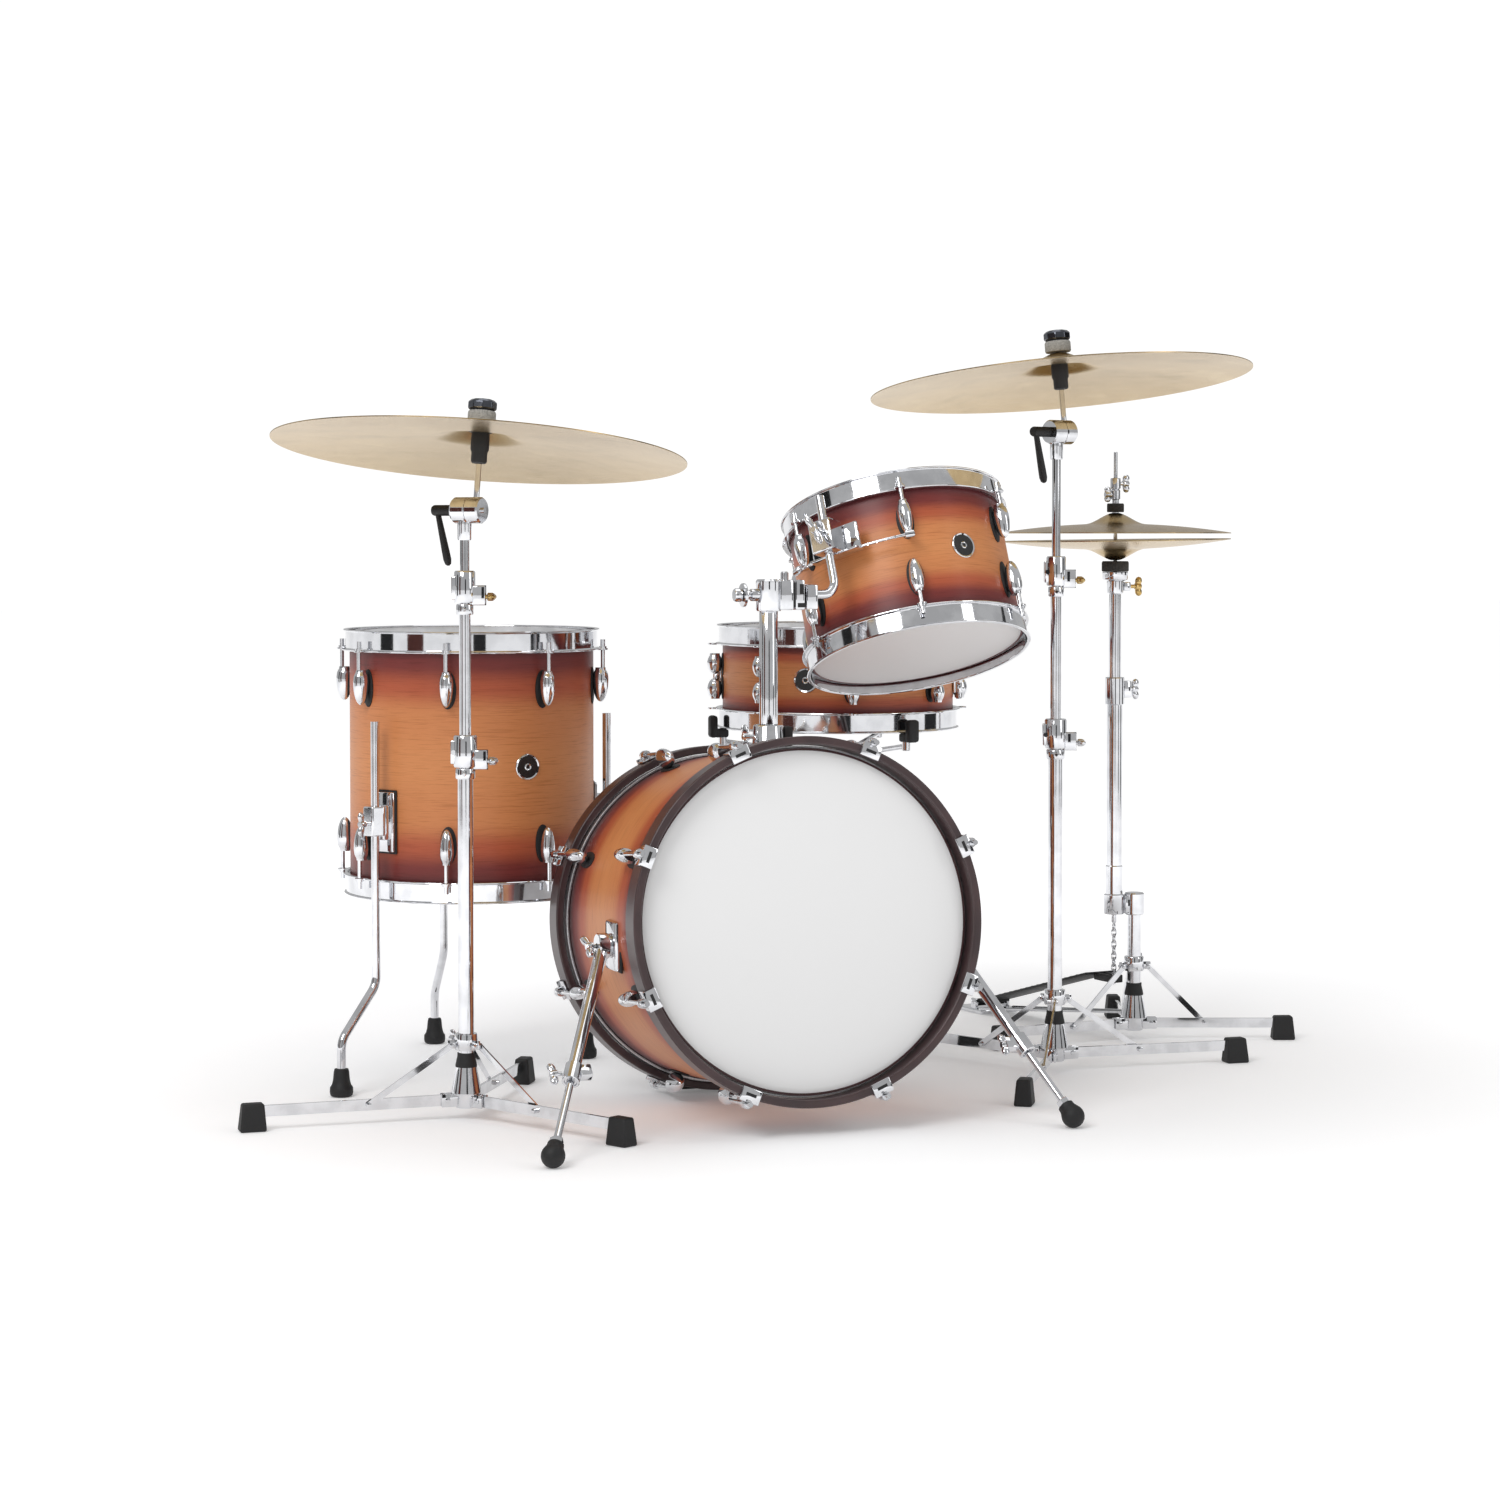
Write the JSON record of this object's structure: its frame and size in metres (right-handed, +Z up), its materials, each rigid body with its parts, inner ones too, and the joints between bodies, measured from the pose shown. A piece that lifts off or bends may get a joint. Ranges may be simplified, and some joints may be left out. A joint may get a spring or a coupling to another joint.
{
  "type": "acoustic drum kit",
  "caption": "Jazz-size drum kit: bass drum with spurs, rack tom, floor tom, snare on stand, hi-hat and cymbals on flat-base stands.",
  "frame": {"origin": "on the floor, at the middle of the kit's footprint box", "axes": "+X to the right as the audience sees it from the front, +Y from the audience towards the drummer (from the front head to the beater side), +Z up"},
  "size_m": [1.7348, 1.1068, 1.0903],
  "materials": {
    "shell_lacquer": "satin sunburst lacquer over maple veneer, amber in the middle to dark maroon at the edges",
    "hoop_wood": "satin dark maroon-brown lacquer",
    "head_film": "coated white polyester film",
    "chrome": "polished chrome plate",
    "cymbal_bronze": "lathed and hammered pale bronze",
    "black_metal": "black powder coat",
    "rubber": "black moulded rubber"
  },
  "bodies": {
    "kit_base": {"bass_shell": "shell_lacquer", "bass_hoops": "hoop_wood", "bass_heads": "head_film", "bass_lugs": "chrome", "bass_claws": "chrome", "bass_tension_rods": "chrome", "spur_brackets": "chrome", "post_base": "chrome", "floor_tom_shell": "shell_lacquer", "floor_tom_hoops": "chrome", "floor_tom_heads": "head_film", "floor_tom_lugs": "chrome", "floor_tom_tension_rods": "chrome", "floor_tom_brackets": "chrome", "stand_legs": "chrome", "stand_braces": "chrome", "stand_feet": "rubber", "stand_hubs": "chrome", "stand_base_tubes": "chrome", "stand_clamps": "chrome", "hihat_frame": "chrome", "pedal_frame": "chrome"},
    "spur_left": {"spur_tube_left": "chrome"},
    "spur_rod_left": {"spur_rod_left": "chrome"},
    "spur_right": {"spur_tube_right": "chrome"},
    "spur_rod_right": {"spur_rod_right": "chrome"},
    "tom_post": {"tom_post": "chrome"},
    "tom_arm": {"tom_arm": "chrome"},
    "tom": {"tom_mount": "chrome", "tom_shell": "shell_lacquer", "tom_hoops": "chrome", "tom_heads": "head_film", "tom_lugs": "chrome", "tom_tension_rods": "chrome"},
    "floor_tom_leg_front": {"floor_tom_leg_front": "chrome"},
    "floor_tom_leg_right": {"floor_tom_leg_right": "chrome"},
    "floor_tom_leg_rear": {"floor_tom_leg_rear": "chrome"},
    "ride_mid": {"ride_mid_tube": "chrome"},
    "ride_top": {"ride_top_tube": "chrome"},
    "ride_tilter": {"ride_cymbal_rod": "chrome"},
    "ride_cymbal": {"ride_cymbal": "cymbal_bronze"},
    "crash_mid": {"crash_mid_tube": "chrome"},
    "crash_top": {"crash_top_tube": "chrome"},
    "crash_tilter": {"crash_cymbal_rod": "chrome"},
    "crash_cymbal": {"crash_cymbal": "cymbal_bronze"},
    "hihat_tube": {"hihat_tube": "chrome", "hihat_bottom_cymbal": "cymbal_bronze"},
    "hihat_rod": {"hihat_pull_rod": "chrome"},
    "hihat_clutch": {"hihat_clutch": "chrome", "hihat_top_cymbal": "cymbal_bronze"},
    "hihat_footboard": {"hihat_footboard": "black_metal"},
    "snare": {"snare_shell": "shell_lacquer", "snare_hoops": "chrome", "snare_heads": "head_film", "snare_lugs": "chrome", "snare_basket": "chrome"},
    "snare_lever": {"snare_lever": "chrome"},
    "pedal_footboard": {"pedal_footboard": "chrome"},
    "pedal_chain": {"pedal_chain": "chrome"},
    "pedal_beater": {"pedal_beater": "chrome"}
  },
  "joints": [
    {"name": "spur_left_fold", "type": "hinge", "parent": "kit_base", "child": "spur_left", "pos_m": [-0.38825, -0.2889, 0.242], "axis": [-1, 0, 0], "range_deg": [0, 80]},
    {"name": "spur_left_length", "type": "slide", "parent": "spur_left", "child": "spur_rod_left", "axis": [0.3839, 0.6831, 0.6213], "range_m": [0, 0.07]},
    {"name": "spur_right_fold", "type": "hinge", "parent": "kit_base", "child": "spur_right", "pos_m": [0.09985, -0.2889, 0.242], "axis": [-1, 0, 0], "range_deg": [0, 80]},
    {"name": "spur_right_length", "type": "slide", "parent": "spur_right", "child": "spur_rod_right", "axis": [-0.3054, 0.6539, 0.6921], "range_m": [0, 0.07]},
    {"name": "tom_height", "type": "slide", "parent": "kit_base", "child": "tom_post", "axis": [0, 0, 1], "range_m": [-0.03, 0.05]},
    {"name": "tom_tilt", "type": "hinge", "parent": "tom_post", "child": "tom_arm", "pos_m": [-0.0322, -0.2289, 0.706], "axis": [1, 0, 0], "range_deg": [-8, 5]},
    {"name": "tom_swing", "type": "hinge", "parent": "tom_arm", "child": "tom", "pos_m": [-0.0322, -0.2289, 0.706], "axis": [-0.0462, 0.3554, 0.9336], "range_deg": [-4, 4]},
    {"name": "floor_tom_leg_front_length", "type": "slide", "parent": "kit_base", "child": "floor_tom_leg_front", "axis": [0, 0, 1], "range_m": [-0.05, 0.15]},
    {"name": "floor_tom_leg_right_length", "type": "slide", "parent": "kit_base", "child": "floor_tom_leg_right", "axis": [0, 0, 1], "range_m": [-0.05, 0.15]},
    {"name": "floor_tom_leg_rear_length", "type": "slide", "parent": "kit_base", "child": "floor_tom_leg_rear", "axis": [0, 0, 1], "range_m": [-0.05, 0.15]},
    {"name": "ride_height_low", "type": "slide", "parent": "kit_base", "child": "ride_mid", "axis": [0, 0, 1], "range_m": [-0.1, 0.15]},
    {"name": "ride_height_high", "type": "slide", "parent": "ride_mid", "child": "ride_top", "axis": [0, 0, 1], "range_m": [-0.03, 0.08]},
    {"name": "ride_tilt", "type": "hinge", "parent": "ride_top", "child": "ride_tilter", "pos_m": [-0.5442, -0.1689, 0.821], "axis": [-0.7169, 0.6972, 0], "range_deg": [-15, 15]},
    {"name": "ride_spin", "type": "hinge", "parent": "ride_tilter", "child": "ride_cymbal", "pos_m": [-0.52619, -0.17477, 0.88042], "axis": [0.097, 0.0998, 0.9903], "continuous": true},
    {"name": "crash_height_low", "type": "slide", "parent": "kit_base", "child": "crash_mid", "axis": [0, 0, 1], "range_m": [-0.03, 0.15]},
    {"name": "crash_height_high", "type": "slide", "parent": "crash_mid", "child": "crash_top", "axis": [0, 0, 1], "range_m": [-0.03, 0.08]},
    {"name": "crash_tilt", "type": "hinge", "parent": "crash_top", "child": "crash_tilter", "pos_m": [0.3678, -0.0809, 0.938], "axis": [-0.9426, -0.3338, 0], "range_deg": [-15, 15]},
    {"name": "crash_spin", "type": "hinge", "parent": "crash_tilter", "child": "crash_cymbal", "pos_m": [0.38138, -0.06833, 0.99755], "axis": [-0.0407, 0.1149, 0.9925], "continuous": true},
    {"name": "hihat_pedal", "type": "hinge", "parent": "kit_base", "child": "hihat_footboard", "pos_m": [0.5208, 0.5021, 0.017], "axis": [0.9862, 0.1658, 0], "range_deg": [0, 1.2], "stiffness_Nm_per_rad": 20, "springref_deg": -28.65},
    {"name": "hihat_pull", "type": "slide", "parent": "kit_base", "child": "hihat_rod", "axis": [0, 0, -1], "range_m": [0, 0.0075]},
    {"name": "hihat_height", "type": "slide", "parent": "kit_base", "child": "hihat_tube", "axis": [0, 0, 1], "range_m": [-0.1, 0.03]},
    {"name": "hihat_clutch_place", "type": "slide", "parent": "hihat_rod", "child": "hihat_clutch", "axis": [0, 0, 1], "range_m": [-0.1, 0.03]},
    {"name": "snare_height", "type": "slide", "parent": "kit_base", "child": "snare", "axis": [0, 0, 1], "range_m": [0, 0.03]},
    {"name": "snare_strainer", "type": "hinge", "parent": "snare", "child": "snare_lever", "pos_m": [0.33382, 0.19289, 0.571], "axis": [0.4226, 0.9063, 0], "range_deg": [0, 70]},
    {"name": "pedal_press", "type": "hinge", "parent": "kit_base", "child": "pedal_footboard", "pos_m": [-0.1442, 0.2451, 0.016], "axis": [1, 0, 0], "range_deg": [0, 4], "stiffness_Nm_per_rad": 6, "springref_deg": -28.65},
    {"name": "pedal_strike", "type": "hinge", "parent": "kit_base", "child": "pedal_beater", "pos_m": [-0.1442, -0.0169, 0.15], "axis": [1, 0, 0], "range_deg": [0, 33]},
    {"name": "pedal_chain_swing", "type": "hinge", "parent": "pedal_footboard", "child": "pedal_chain", "pos_m": [-0.1442, 0.0171, 0.077], "axis": [1, 0, 0], "range_deg": [-7.5, 0]}
  ],
  "couplings": [
    {"joint": "hihat_pull", "follows": "hihat_pedal", "m_per_rad": 0.34984},
    {"joint": "hihat_clutch_place", "follows": "hihat_height", "ratio": 1},
    {"joint": "pedal_strike", "follows": "pedal_press", "ratio": 8.1429},
    {"joint": "pedal_chain_swing", "follows": "pedal_press", "ratio": -1.78}
  ]
}
